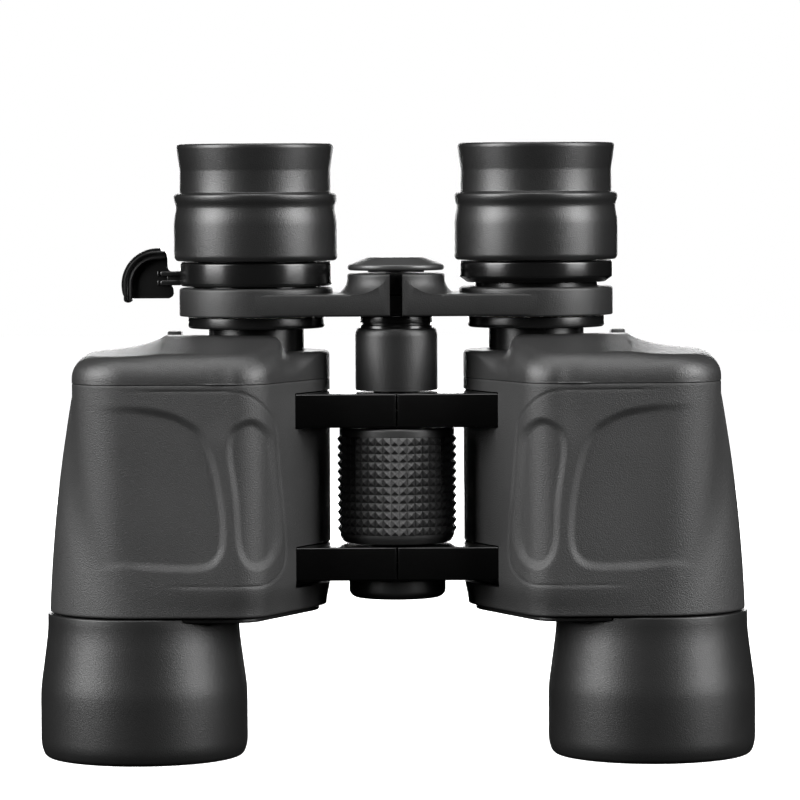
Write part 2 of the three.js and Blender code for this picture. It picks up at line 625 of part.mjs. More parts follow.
addBody('left', (solid) => solid);
addBody('right', mirrored);
addObjective('left', 1);
addObjective('right', -1);
const leftEye = addEyepiece('left', 1);
const rightEye = addEyepiece('right', -1);
piece(leftEye, 'diopter_ring', turned(diopterRingProfile, ROUND_LARGE), GLOSS_PAINT);
addZoomControl(rightEye);
addCentreColumn();

export default binoculars;
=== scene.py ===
"""Zoom binoculars standing on their objective rims: fine surfaces, materials and a plain studio.

Shapes are written in millimetres in the part's own frame and scaled to metres. +X is the user's left
half, -Y faces the camera, +Z points to the eyepieces. A shape with a side is drawn for the left half
and mirrored for the right one.
"""

import json
import math

import bmesh
import bpy
import numpy as np
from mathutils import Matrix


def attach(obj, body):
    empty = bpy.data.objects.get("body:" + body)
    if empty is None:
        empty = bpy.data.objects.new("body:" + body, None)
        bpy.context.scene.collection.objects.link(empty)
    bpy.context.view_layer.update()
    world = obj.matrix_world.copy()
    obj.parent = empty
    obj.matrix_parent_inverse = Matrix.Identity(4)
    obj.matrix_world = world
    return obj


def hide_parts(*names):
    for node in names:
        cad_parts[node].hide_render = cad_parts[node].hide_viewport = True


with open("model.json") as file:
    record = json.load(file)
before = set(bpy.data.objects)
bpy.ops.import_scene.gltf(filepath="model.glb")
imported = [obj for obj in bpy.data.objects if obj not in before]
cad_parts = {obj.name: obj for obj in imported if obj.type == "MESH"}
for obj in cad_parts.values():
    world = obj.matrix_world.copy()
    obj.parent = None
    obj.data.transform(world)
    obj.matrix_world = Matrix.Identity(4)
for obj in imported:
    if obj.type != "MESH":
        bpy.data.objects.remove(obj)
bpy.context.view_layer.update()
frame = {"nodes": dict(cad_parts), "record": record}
scene = bpy.context.scene

MM = 0.001
SIDES = {"left": 1, "right": -1}
CLOSEST = 1e-9
BEVEL_ANGLE = 35

# ------------------------------------------------------------------ dimensions, mm
OBJECTIVE = (66.5, -5.3)
EYEPIECE = (37.0, 10.7)
HINGE = (0.0, 2.7)
PRISM_AXIS = (43.75, -12.05)
BODY_Z = (38.0, 98.0)
COVER_Z = 98.06
COLLAR_TOP = 105.3
DOME_TOP = 109.6
DOME_FRONT = 104.9
LUG_LEVELS = ((45.9, 54.6), (85.8, 94.6))
LUG_FRONT = -12.3
LEVER_AXIS = (-37.0, 10.7)


# ------------------------------------------------------------------ camera, metres and degrees
LENS = 196.6
CAMERA_PLACE = (0.0012, -1.1453, 0.151)
CAMERA_DIP = 2.93
CAMERA_ROLL = 0.3


def aim_camera():
    """The viewpoint of a long lens a little over a metre away, level with the eyecups."""
    data = bpy.data.cameras.new("camera")
    data.sensor_width = 36.0
    data.lens = LENS
    data.clip_end = 50
    camera = bpy.data.objects.new("camera", data)
    camera.location = CAMERA_PLACE
    camera.rotation_mode = "XYZ"
    camera.rotation_euler = (math.radians(90 - CAMERA_DIP), math.radians(CAMERA_ROLL), 0)
    scene.collection.objects.link(camera)
    scene.camera = camera


# ------------------------------------------------------------------ meshes
def bare(name, verts, faces):
    """An object from points in millimetres, with its faces turned outwards."""
    mesh = bpy.data.meshes.new(name)
    mesh.from_pydata((np.asarray(verts, float) * MM).tolist(), [], faces)
    work = bmesh.new()
    work.from_mesh(mesh)
    bmesh.ops.remove_doubles(work, verts=work.verts, dist=1e-7)
    bmesh.ops.recalc_face_normals(work, faces=work.faces)
    work.to_mesh(mesh)
    work.free()
    obj = bpy.data.objects.new(name, mesh)
    scene.collection.objects.link(obj)
    return obj


def bake_modifiers(obj):
    """Replaces an object's mesh by the result of its modifiers."""
    bpy.context.view_layer.update()
    graph = bpy.context.evaluated_depsgraph_get()
    mesh = bpy.data.meshes.new_from_object(obj.evaluated_get(graph))
    obj.modifiers.clear()
    old = obj.data
    obj.data = mesh
    bpy.data.meshes.remove(old)
    return obj


def combine(obj, operation, *others):
    """Joins or cuts an object with others, which are used up."""
    for other in others:
        modifier = obj.modifiers.new(operation.lower(), "BOOLEAN")
        modifier.solver = "MANIFOLD"
        modifier.operation = operation
        modifier.object = other
        bake_modifiers(obj)
        bpy.data.objects.remove(other)
    return obj


def bevelled(obj, width, segments=3):
    """Rounds an object's edges, in millimetres."""
    modifier = obj.modifiers.new("bevel", "BEVEL")
    modifier.width = width * MM
    modifier.segments = segments
    modifier.limit_method = "ANGLE"
    modifier.angle_limit = math.radians(BEVEL_ANGLE)
    return bake_modifiers(obj)


def mirrored(obj, side):
    """A shape drawn for the left half, mirrored if it is for the right one."""
    if SIDES[side] < 0:
        for vertex in obj.data.vertices:
            vertex.co.x = -vertex.co.x
        obj.data.flip_normals()
    return obj


def merged(name, parts):
    """One object from several, each keeping its own closed surface."""
    work = bmesh.new()
    for part in parts:
        work.from_mesh(part.data)
        bpy.data.objects.remove(part)
    mesh = bpy.data.meshes.new(name)
    work.to_mesh(mesh)
    work.free()
    obj = bpy.data.objects.new(name, mesh)
    scene.collection.objects.link(obj)
    return obj


# ------------------------------------------------------------------ shapes
def rounded(profile, closed=False, steps=5):
    """A profile with its corners rounded; a point's third number is the length cut from each edge."""
    points = [np.array(p[:2], float) for p in profile]
    result = []
    for i, (corner, entry) in enumerate(zip(points, profile)):
        cut = entry[2] if len(entry) > 2 else 0
        if cut <= 0 or (not closed and i in (0, len(points) - 1)):
            result.append(corner)
            continue
        ends = []
        for other in (points[i - 1], points[(i + 1) % len(points)]):
            way = other - corner
            length = np.hypot(*way)
            ends.append(corner + way / length * min(cut, 0.49 * length))
        for t in np.linspace(0, 1, steps + 1):
            result.append((1 - t) ** 2 * ends[0] + 2 * t * (1 - t) * corner + t ** 2 * ends[1])
    return result


def lathe(name, profile, centre=(0, 0), facets=128, closed=True):
    """A profile of (radius, height, rounding) turned about an upright axis."""
    outline = rounded(profile, closed)
    turn = np.arange(facets) * 2 * math.pi / facets
    verts, rings = [], []
    for radius, height in outline:
        if radius < 1e-6:
            rings.append([len(verts)] * facets)
            verts.append((centre[0], centre[1], height))
            continue
        rings.append(range(len(verts), len(verts) + facets))
        across, back = centre[0] + radius * np.cos(turn), centre[1] + radius * np.sin(turn)
        verts.extend(zip(across, back, [height] * facets))
    faces = []
    pairs = list(zip(rings, rings[1:])) + ([(rings[-1], rings[0])] if closed else [])
    for low, high in pairs:
        for i in range(facets):
            j = (i + 1) % facets
            face = list(dict.fromkeys((low[i], low[j], high[j], high[i])))
            if len(face) > 2:
                faces.append(face)
    return bare(name, verts, faces)


def drum(radius, low, high, centre=HINGE, facets=96):
    return lathe("drum", [(0, low), (radius, low), (radius, high), (0, high)], centre, facets, closed=False)


def extruded(name, outline, low, high, axis="z"):
    """A flat outline given a thickness along an axis. Outline points are (x, y), or (x, z) for axis y."""
    order = {
        "x": lambda a, b, t: (t, a, b),
        "y": lambda a, b, t: (a, t, b),
        "z": lambda a, b, t: (a, b, t),
    }[axis]
    count = len(outline)
    verts = [order(a, b, t) for t in (low, high) for a, b in outline]
    faces = [list(range(count))[::-1], list(range(count, 2 * count))]
    faces += [[i, (i + 1) % count, (i + 1) % count + count, i + count] for i in range(count)]
    return bare(name, verts, faces)


def band(low, high, count):
    """The faces between two rings of count vertices that start at low and high."""
    return [[low + i, low + (i + 1) % count, high + (i + 1) % count, high + i] for i in range(count)]


def loft(name, rings, ends=True):
    """A skin through rings of equal count; with ends it is capped, without it closes on its first ring."""
    count = len(rings[0])
    verts = np.concatenate(rings)
    step = len(rings) if not ends else len(rings) - 1
    faces = []
    for k in range(step):
        low, high = k * count, ((k + 1) % len(rings)) * count
        faces += band(low, high, count)
    if ends:
        last = (len(rings) - 1) * count
        faces += [list(range(count))[::-1], list(range(last, last + count))]
    return bare(name, verts, faces)


class Outline:
    """The convex outline round circles: for each point its circle's centre, radius and direction."""

    def __init__(self, circles, count, frontal=1.0, dense=1440):
        circles = np.array(circles, float)
        angle = np.arange(dense + 1) * 2 * math.pi / dense + 0.5 * math.pi
        way = np.stack([np.cos(angle), np.sin(angle)], 1)
        reach = way @ circles[:, :2].T + circles[:, 2]
        chosen = circles[np.argmax(reach, 1)]
        centre, radius = chosen[:, :2], chosen[:, 2]
        edge = centre + way * radius[:, None]
        length = np.hypot(*np.diff(edge, axis=0).T)
        weight = 1 + (frontal - 1) * smoothstep((-way[:-1, 1] - 0.05) / 0.4)
        run = np.concatenate([[0], np.cumsum(length * weight)])
        wanted = np.arange(count) * run[-1] / count
        pick = lambda values: np.interp(wanted, run, values)
        self.centre = np.stack([pick(centre[:, 0]), pick(centre[:, 1])], 1)
        self.radius = pick(radius)
        way = np.stack([pick(way[:, 0]), pick(way[:, 1])], 1)
        self.way = way / np.hypot(*way.T)[:, None]

    def points(self, inset=0.0):
        return self.centre + (self.radius - inset)[:, None] * self.way

    def softened(self, reach):
        """The same outline with the joins between its circles eased in front, over some points each way."""
        window = np.hanning(2 * reach + 3)[1:-1]
        share = smoothstep((-self.way[:, 1] - 0.05) / 0.3)[:, None]
        for values in (self.centre, self.radius[:, None], self.way):
            wide = np.concatenate([values[-reach:], values, values[:reach]])
            soft = np.stack([np.convolve(column, window / window.sum(), "valid") for column in wide.T], 1)
            values += share * (soft - values)
        self.way /= np.hypot(*self.way.T)[:, None]
        return self

    def ring(self, z, inset=0.0):
        flat = self.points(inset)
        return np.column_stack([flat, np.broadcast_to(z, len(flat))])


def slab(name, circles, low, high, edge=0.5, count=160):
    """A plate with the outline of some circles and rounded top and bottom edges."""
    outline = Outline(circles, count)
    turns = np.linspace(0, math.pi / 2, 4)
    rings = [outline.ring(low + edge * (1 - math.sin(a)), edge * (1 - math.cos(a))) for a in turns[::-1]]
    rings += [outline.ring(high - edge * (1 - math.sin(a)), edge * (1 - math.cos(a))) for a in turns]
    return loft(name, rings)


def smoothstep(t):
    t = np.clip(t, 0, 1)
    return t * t * (3 - 2 * t)


def flowing(points, steps=8):
    """A closed smooth curve through points."""
    p = np.array(points, float)
    before, after, next_after = np.roll(p, 1, 0), np.roll(p, -1, 0), np.roll(p, -2, 0)
    t = (np.arange(steps) / steps)[None, :, None]
    a, b, c, d = (q[:, None, :] for q in (before, p, after, next_after))
    square = (2 * a - 5 * b + 4 * c - d) * t ** 2
    cube = (3 * b - a - 3 * c + d) * t ** 3
    return (0.5 * (2 * b + (c - a) * t + square + cube)).reshape(-1, 2)


def depth_inside(x, z, loop):
    """Distance from the edge of a closed curve, positive inside."""
    point = np.stack([x, z], -1)
    start, end = loop, np.roll(loop, -1, 0)
    nearest = np.full(x.shape, 1e9)
    inside = np.zeros(x.shape, bool)
    for a, b in zip(start, end):
        way = b - a
        along = np.clip(((point - a) @ way) / max(way @ way, CLOSEST), 0, 1)
        nearest = np.minimum(nearest, np.hypot(*np.moveaxis(point - a - along[..., None] * way, -1, 0)))
        if (a[1] > 0) and abs(way[1]) > CLOSEST:
            crosses = ((a[1] > z) != (b[1] > z)) & (x < way[0] * (z - a[1]) / way[1] + a[0])
            inside ^= crosses
    return np.where(inside, nearest, -nearest)


# ------------------------------------------------------------------ body shape
def plan(z):
    """Circles whose outline is the body's section at a height."""
    t = min(max((z - BODY_Z[0]) / (BODY_Z[1] - BODY_Z[0]), 0), 1)
    reach = 90.9 - 2.2 * t - 4.6 * t * t
    drawn = 1.1 * float(smoothstep((BODY_Z[0] + 8 - z) / 8))
    return [
        (*OBJECTIVE, reach - OBJECTIVE[0]),
        (66.5 + 3 * t, -12.3 - 4 * t, 17.4 - 2.9 * t),
        (42, -20.6, 10.7 - drawn),
        (36.3, 9.7, 18.6 - drawn),
    ]


THUMB_REST = flowing([
    (88, 91.6), (76, 92.2), (66, 92.0), (58.5, 90.7), (53.5, 88.5), (50, 85.6), (47, 79.1), (44.9, 69),
    (44.2, 60), (44.9, 54.8), (47.5, 51.6), (52.1, 50.6), (60, 50.7), (70, 51.4), (88, 53),
])
FINGER_REST = flowing([
    (36.4, 88.8), (33, 86.5), (31.2, 82.5), (30.2, 74), (29.8, 63.7), (30.2, 56.3), (32.3, 52), (36, 50.6),
    (39, 52.4), (40.9, 57), (41.7, 68.8), (43.2, 80), (42.6, 85.4), (40, 88),
])
PANEL = flowing([
    (92, 96.6), (70, 96.5), (55, 96.4), (42.2, 96.3), (37.5, 95.1), (34.3, 92.7), (32, 89.6), (31, 86),
    (30.2, 75), (29.2, 62), (28.9, 53), (30.2, 48.8), (33.4, 46.5), (40.3, 46.1), (59.3, 46.1), (75, 46.1),
    (92, 46.1),
])


def relief(x, z, way):
    """How far the armour's front stands proud, for the left half."""
    front = smoothstep((-way[:, 1] - 0.25) / 0.3)
    thumb = smoothstep((depth_inside(x, z, THUMB_REST) + 0.8) / 2.4) * smoothstep((80 - x) / 22)
    finger = smoothstep((depth_inside(x, z, FINGER_REST) + 0.7) / 2.4)
    edge = depth_inside(x, z, PANEL)
    up = smoothstep((z - 55) / 35)
    fade = smoothstep((61 + 11 * up - x) / (8 + 4 * up))
    groove = np.exp(-(edge / 0.28) ** 2) * fade
    step = smoothstep((edge + 0.3) / 0.6) * fade
    valley = np.exp(-((x - 45.5) / 3.2) ** 2) * smoothstep((z - 82) / 8)
    dent = np.exp(-((x - 44.4) / 4.0) ** 2 - ((z - 100.0) / 2.6) ** 2)
    line = 0.16 * groove + 0.12 * step
    return -front * (0.85 * thumb + 0.85 * finger + line + 0.3 * valley + 0.28 * dent)


def lug_circles(grow=0.0):
    return [
        (*HINGE, 14.4 + grow), (0, LUG_FRONT + 2, 2 + grow), (32, LUG_FRONT + 2, 2 + grow), (32, 9.2, 2 + grow),
    ]


def make_armour(side):
    """The rubber skin: an outer surface with the scallops and panel, and a plain inner one."""
    low, high = BODY_Z
    turns = np.linspace(0, math.pi / 2, 4)
    lower, upper = 0.5, 0.4
    levels = [(low + lower * (1 - math.sin(a)), lower * (1 - math.cos(a))) for a in turns[::-1]]
    levels += [(z, 0.0) for z in np.linspace(low + lower, high - upper, 146)[1:-1]]
    levels += [(high - upper * (1 - math.sin(a)), upper * (1 - math.cos(a))) for a in turns]
    rings = []
    for z, inset in levels:
        outline = Outline(plan(z), 300, frontal=6.0).softened(18)
        flat = outline.points(inset)
        flat = flat + relief(flat[:, 0], np.full(len(flat), z), outline.way)[:, None] * outline.way
        rings.append(np.column_stack([flat, np.full(len(flat), z)]))
    for z in (high, (low + high) / 2, low):
        rings.append(Outline(plan(z), 300, frontal=6.0).ring(z, 1.7))
    skin = loft("armour", rings, ends=False)
    (_, lower_top), (upper_bottom, upper_top) = LUG_LEVELS
    pockets = [
        slab("pocket", lug_circles(0.3), 44, lower_top + 0.3, 0.3),
        slab("pocket", lug_circles(0.3), upper_bottom - 0.3, upper_top + 0.3, 0.3),
    ]
    return mirrored(combine(skin, "DIFFERENCE", *pockets), side)


# ------------------------------------------------------------------ rear cover
def dome_height(x, y):
    """Height of the rear cover's top: the dome, its sloping front, the outer shoulder and the collar."""
    shoulder = 4.1 * (1 - np.exp(-np.maximum(0, x - 60.5) / 7))
    forward = np.clip((-4.8 - y) / 25.5, 0, 1)
    dome = (DOME_TOP - shoulder) * (1 - forward) + DOME_FRONT * forward
    axis, end = np.array(PRISM_AXIS), np.array(OBJECTIVE) + (14, 3)
    way = end - axis
    rel = np.stack([x, y], -1) - axis
    along = np.clip((rel @ way) / (way @ way), 0, 1)
    off = rel - along[..., None] * way
    off_y = np.where(off[..., 1] < 0, 0.62 * off[..., 1], off[..., 1])
    away = np.hypot(off[..., 0], off_y)
    return COLLAR_TOP + (dome - COLLAR_TOP) * (1 - smoothstep((away - 13.4) / 2.0))


def make_rear_cover(side):
    """Top surface in rings from the rim inwards, with a broad fillet in front and a tight one at the collar."""
    outline = Outline(plan(BODY_Z[1]), 420, frontal=2.0).softened(8)
    from_eye = np.hypot(*(outline.centre - (36.3, 9.7)).T)
    fillet = 1.0 + 5.0 * smoothstep(from_eye / 16)
    rings = [outline.ring(COVER_Z, 2.2), outline.ring(COVER_Z, 0.06), outline.ring(COVER_Z + 0.06, 0.0)]
    insets = np.concatenate([1 - np.cos(np.linspace(0, math.pi / 2, 12)), np.linspace(1, 1.5, 8)[1:]])
    wall_low = COVER_Z + 0.06
    for inset_share in insets:
        inset = inset_share * fillet
        flat = outline.points(inset)
        drop = fillet - np.sqrt(np.maximum(fillet ** 2 - np.maximum(fillet - inset, 0) ** 2, 0))
        top = dome_height(flat[:, 0], flat[:, 1]) - drop
        rings.append(np.column_stack([flat, top]))
    first = rings[3]
    climb = [0.33, 0.66]
    rings[3:3] = [np.column_stack([outline.points(), wall_low + (first[:, 2] - wall_low) * c]) for c in climb]
    last = rings[-1][:, :2]
    core = outline.centre.mean(0)
    for share in np.linspace(0, 1, 24)[1:-1]:
        flat = last + (core - last) * share
        rings.append(np.column_stack([flat, dome_height(flat[:, 0], flat[:, 1])]))
    for i, ring in enumerate(rings[3:], 3):
        push = relief(ring[:, 0], ring[:, 2], outline.way) * smoothstep((106 - ring[:, 2]) / 3)
        ring[:, :2] += push[:, None] * outline.way
    verts = np.concatenate(rings)
    count = len(outline.centre)
    faces = []
    for k in range(len(rings) - 1):
        low, high = k * count, (k + 1) * count
        faces += band(low, high, count)
    top_centre = len(verts)
    verts = np.vstack([verts, [[*core, float(dome_height(*core[:, None])[0])]]])
    last = (len(rings) - 1) * count
    faces += [[last + i, last + (i + 1) % count, top_centre] for i in range(count)]
    faces.append(list(range(count))[::-1])
    cover = bare("rear_cover", verts, faces)
    combine(cover, "DIFFERENCE", drum(13.0, 90, 120, EYEPIECE))
    plate = [
        (13, 98.6), (22.7, 98.6), (25.2, 101.5), (25.2, 107), (24, 109.3), (21.8, 110.2), (13, 110.2),
    ]
    eyelet = extruded("eyelet", rounded([(*p, 1.2) for p in plate], True, 4), 57, 60.7, "x")
    combine(eyelet, "DIFFERENCE", across_drum(1.9, 50, 66, 21.6, 106))
    bevelled(eyelet, 0.5, 3)
    return mirrored(merged("rear_cover", [cover, eyelet]), side)


def across_drum(radius, low, high, y, z, facets=40):
    turn = np.arange(facets) * 2 * math.pi / facets
    ring = [(y + radius * math.cos(a), z + radius * math.sin(a)) for a in turn]
    return extruded("bore", ring, low, high, "x")


def make_front_cover(side):
    outline = [(x, y, r - 2) for x, y, r in plan(BODY_Z[0])]
    sheet = slab("front_cover", outline, 36.6, 37.7, 0.35, 240)
    return mirrored(combine(sheet, "DIFFERENCE", drum(25.4, 30, 45, OBJECTIVE, 128)), side)


# ------------------------------------------------------------------ knuckles
def knuckle(solid, side, slit, disc, bore, levels, front, ease=0.45):
    """Cuts a half's hinge plate at the slit, with its own disc in one level and room in the other."""
    low, middle, high = levels
    left = side == "left"
    own = (middle + 0.15, high) if left else (low, middle - 0.15)
    other = (low - 3, middle + 0.15) if left else (middle - 0.15, high + 3)
    angle, far = math.radians(58), 70
    sector = [
        (slit, HINGE[1]), (far * math.cos(angle), HINGE[1] + far * math.sin(angle)),
        (-far, far), (-far, -far), (slit + ease, -far),
        (slit + ease, front - 0.05), (slit + 0.12, front + 0.14), (slit, front + ease),
    ]
    cutter = extruded("sector", sector, low - 5, high + 5)
    combine(solid, "DIFFERENCE", cutter, drum(disc + 0.3, *other))
    bottom, top = own
    edge = [(0, bottom), (disc, bottom, 0.3), (disc, top, 0.3), (0, top)]
    own_disc = lathe("disc", edge, HINGE, 96, False)
    combine(solid, "UNION", own_disc)
    return combine(solid, "DIFFERENCE", drum(bore, low - 6, high + 6))


def make_housing(side):
    """The casting: a plain shell under the armour, and the two lugs that carry the hinge."""
    levels = np.linspace(BODY_Z[0], BODY_Z[1], 9)
    rings = [Outline(plan(z), 160).ring(z, 2.0) for z in levels]
    rings += [Outline(plan(z), 160).ring(z, 4.0) for z in levels[::-1]]
    shell = loft("shell", rings, ends=False)
    lugs = []
    for low, high in LUG_LEVELS:
        lug = slab("lug", lug_circles(), low, high, 0.55)
        knuckle(lug, side, 0.15, 11, 6.3, (low, (low + high) / 2, high), LUG_FRONT)
        lugs.append(lug)
    return mirrored(merged("housing", [shell, *lugs]), side)


def make_arm(side):
    """Half of the bridge: the ring that holds the eyepiece, the arm, and its half of the split hub."""
    ring = lathe("arm", [
        (0, 114.4), (20.3, 114.4, 0.5), (20.3, 121.9, 0.9), (15, 121.9), (0, 121.9),
    ], EYEPIECE, 160, False)
    beam = slab("beam", [(*EYEPIECE, 20.3), (*HINGE, 12.6)], 114.6, 120.4, 0.6, 200)
    boss = lathe("boss", [
        (0, 114.8), (12.8, 114.8, 0.4), (12.8, 125.6, 0.6), (0, 125.6),
    ], HINGE, 160, False)
    foot = lathe("foot", [
        (0, 116), (17.2, 116), (17.2, 120.2), (14.8, 120.45, 1.5), (13.0, 122.6, 1.6), (12.7, 125.2),
        (0, 125.2),
    ], HINGE, 160, False)
    wedge = slab("wedge", [(*EYEPIECE, 20.2), (*HINGE, 12.6)], 112, 127, 0.1, 200)
    combine(foot, "INTERSECT", wedge)
    combine(ring, "UNION", beam, boss, foot)
    knuckle(ring, side, 1.6, 9.5, 4.3, (114.8, 120.1, 125.6), HINGE[1] - 12.8, 0.8)
    return mirrored(combine(ring, "DIFFERENCE", drum(16.7, 110, 125, EYEPIECE, 128)), side)


# ------------------------------------------------------------------ turned pieces
def at_objective(side):
    return (SIDES[side] * OBJECTIVE[0], OBJECTIVE[1])


def at_eyepiece(side):
    return (SIDES[side] * EYEPIECE[0], EYEPIECE[1])


BARREL = [
    (17.6, 46), (19, 23.6), (21.9, 23.6), (21.9, 11.2), (24.5, 0.0, 0.4), (25.4, 0.0, 0.5), (26.25, 0.75, 0.5),
    (27.05, 3.2, 2.2), (27.05, 15.6, 1.2), (26.95, 18.5, 2.5), (26.1, 24.5, 3), (25, 33, 3), (25, 37.6, 0.4),
    (19.6, 37.6), (19.6, 46),
]
EYECUP = [
    (15.5, 128.95), (20.95, 128.95, 0.5), (21.65, 129.9, 0.7), (21.65, 139.6, 1.4), (21.05, 142.6, 1.5),
    (21.1, 143.6, 0.8), (21.65, 145.2, 0.8), (21.6, 146.6, 0.9), (20.05, 146.95, 0.25), (20.0, 152.8, 0.4),
    (20.85, 158.9, 0.4), (20.6, 159.75, 0.5), (18.9, 159.8, 0.5), (17.4, 152.3, 2), (15.5, 150.9),
]
ZOOM_RING = [
    (15.5, 118.2), (16.3, 118.2), (16.3, 122.3), (19.5, 122.3, 0.3), (20.1, 122.9, 0.35), (20.1, 128.3, 0.35),
    (19.6, 128.7, 0.2), (15.5, 128.7),
]
DIOPTER_RING = [
    (15.5, 117.8), (16.3, 117.8), (16.3, 123.0), (18.2, 123.05, 0.3), (18.9, 123.6, 0.3), (20.3, 124.6, 0.35),
    (20.3, 128.3, 0.35), (19.9, 128.7, 0.2), (15.5, 128.7),
]
TUBE = [
    (11.3, 94.9), (12.65, 94.9), (12.65, 111.2), (17.6, 111.2, 0.4), (18.05, 111.8, 0.4), (18.05, 114.1, 0.2),
    (11.3, 114.1),
]
UPPER_TUBE = [
    (6.3, 95), (10.8, 95), (10.8, 109.9, 0.8), (10.4, 111.2, 0.7), (9.7, 111.35, 0.2), (9.7, 97.4), (6.3, 97.4),
]
GUIDE_SLEEVE = [
    (4.3, 101), (9.5, 101), (9.5, 112.0, 0.1), (9.05, 112.15), (9.05, 112.65), (9.5, 112.8, 0.1),
    (9.5, 114.6, 0.2), (4.3, 114.6),
]
BRIDGE_CAP = [
    (0, 125.9), (7.4, 125.9), (7.4, 126.45), (12.2, 126.45, 0.3), (12.7, 126.9, 0.4), (12.65, 127.85, 0.4),
    (11.9, 128.2, 0.8), (7.6, 129.8, 0.6), (7.0, 129.92, 0.5), (0, 129.92),
]
END_CAP = [
    (0, 40.5), (11.2, 40.5, 0.3), (12.1, 41.0, 0.6), (12.7, 42.0, 0.6), (12.7, 45.65, 0.2), (6.3, 45.65),
    (6.3, 42), (0, 42),
]
WHEEL_HUB = [
    (6.3, 55), (12.6, 55, 0.3), (12.6, 85.3, 0.3), (6.3, 85.3), (6.3, 74), (9.3, 73), (9.3, 59.5), (6.3, 58.5),
]


def make_grip():
    """The focus wheel's grip: rows of small pyramids between two smooth bands."""
    columns, rows = 45, 12
    first, last = 58.6, 82.1
    pitch = (last - first) / (rows - 1)
    facets = 2 * columns
    valley, peak, bore = 15.0, 15.72, 12.9
    bottom = first - pitch / 2
    top = first + pitch * (rows - 0.5)
    levels = [bottom + pitch / 2 * k for k in range(2 * rows + 1)]
    below = rounded([
        (bore, 55), (13.6, 55, 0.3), (14.2, 55.2, 0.4), (15.0, 56.6, 0.5), (15.05, bottom - 0.05),
    ], False, 4)
    above = rounded([(15.1, top + 0.05), (15.1, 84.9, 0.3), (14.8, 85.3, 0.3), (bore, 85.3)], False, 4)
    turn = np.arange(facets) * 2 * math.pi / facets
    rings = [(np.full(facets, r), z) for r, z in below]
    for k, z in enumerate(levels):
        radius = np.full(facets, valley)
        if k % 2:
            radius[1::2] = peak
        rings.append((radius, z))
    rings += [(np.full(facets, r), z) for r, z in above]
    verts = [
        (HINGE[0] + r * math.cos(a), HINGE[1] + r * math.sin(a), z)
        for radii, z in rings for r, a in zip(radii, turn)
    ]
    start = len(below)
    faces = []
    for k in range(len(rings)):
        upper = (k + 1) % len(rings)
        for i in range(facets):
            j = (i + 1) % facets
            a, b = k * facets + i, k * facets + j
            c, d = upper * facets + j, upper * facets + i
            if start <= k < start + 2 * rows:
                even = (k - start + i) % 2 == 0
                faces += [[a, b, c], [a, c, d]] if even else [[a, b, d], [b, c, d]]
            else:
                faces.append([a, b, c, d])
    return bare("grip", verts, faces)


# ------------------------------------------------------------------ zoom lever
def sweep(name, path, section, taper=5, cap=0.9):
    """A section drawn in (sideways, depth) carried along a path in (reach, height), with rounded ends."""
    path = np.array(path, float)
    way = np.gradient(path, axis=0)
    way /= np.hypot(*way.T)[:, None]
    side = np.stack([way[:, 1], -way[:, 0]], 1)
    section = np.array(section, float)
    rings = []
    turns = np.linspace(0, math.pi / 2, taper + 1)
    stations = [(path[0] - way[0] * cap * math.sin(a), side[0], max(math.cos(a), 0.06)) for a in turns[::-1]]
    stations += [(p, s, 1.0) for p, s in zip(path[1:-1], side[1:-1])]
    stations += [(path[-1] + way[-1] * cap * math.sin(a), side[-1], max(math.cos(a), 0.06)) for a in turns]
    for place, across, scale in stations:
        flat = place + across * (section[:, :1] * scale)
        rings.append(np.column_stack([flat[:, 0], section[:, 1] * (0.25 + 0.75 * scale), flat[:, 1]]))
    return loft(name, rings)


def make_lever():
    """A quarter-round thumb lever: web, double-beaded rim, thumb flange and two lugs to the ring."""
    centre = np.array([26.0, 122.7])
    quarter = math.pi / 2

    def arc(radius, start, end, count):
        return [centre + radius * np.array([math.cos(a), math.sin(a)]) for a in np.linspace(start, end, count)]

    path = [
        (33.85, 118.9), (33.85, 120.2), (33.85, 121.6), *arc(7.85, 0, quarter, 28), (25.2, 130.55),
        (24.4, 130.55),
    ]
    bead = [
        (-1.15, -1.5), (-1.1, -2.1), (-0.8, -2.45), (-0.45, -2.35), (-0.2, -2.0), (0.0, -1.95), (0.2, -2.05),
        (0.45, -2.5), (0.8, -2.62), (1.1, -2.25), (1.15, -1.5), (1.15, 2.2), (0.8, 2.55), (-0.8, 2.55),
        (-1.15, 2.2),
    ]
    rim = sweep("rim", path, bead)
    lip = [(-0.9, -0.2), (0.32, -0.2), (0.42, 0.2), (0.42, 2.1), (0.2, 2.4), (-0.9, 2.4)]
    flange = sweep("flange", arc(9.25, -0.28, quarter + 0.06, 30), lip, 3, 0.3)
    web_outline = [
        (33.6, 119.1), (33.6, 123), *arc(7.4, 0.2, 1.4, 9),
        (26, 130.2), (23.35, 130.2), (23.3, 127.2), (22.9, 126.4), (22.2, 126.3), (22.2, 122.4), (21.75, 121.6),
        (21.75, 120.5), (22.1, 119.6), (23.0, 119.1),
    ]
    web = bevelled(extruded("web", [tuple(p) for p in web_outline], -0.9, 0.9, "y"), 0.3)

    def bar(start, end, low, high, half, edge, segments=3):
        outline = [(start, low), (end, low), (end, high), (start, high)]
        return bevelled(extruded("bar", outline, -half, half, "y"), edge, segments)

    lugs = [bar(19.7, 25.3, low, high, 1.75, 0.45, 4) for low, high in ((122.55, 123.95), (125.0, 126.3))]
    tabs = [bar(25.4, 26.1, low, high, 1.25, 0.25) for low, high in ((122.6, 123.9), (125.0, 126.3))]
    core = bar(19.7, 23.5, 123.6, 125.4, 1.0, 0.2)
    lever = merged("lever", [rim, flange, web, core, *lugs, *tabs])
    for vertex in lever.data.vertices:
        vertex.co.x = LEVER_AXIS[0] * MM - vertex.co.x
        vertex.co.y += LEVER_AXIS[1] * MM
    lever.data.flip_normals()
    return lever


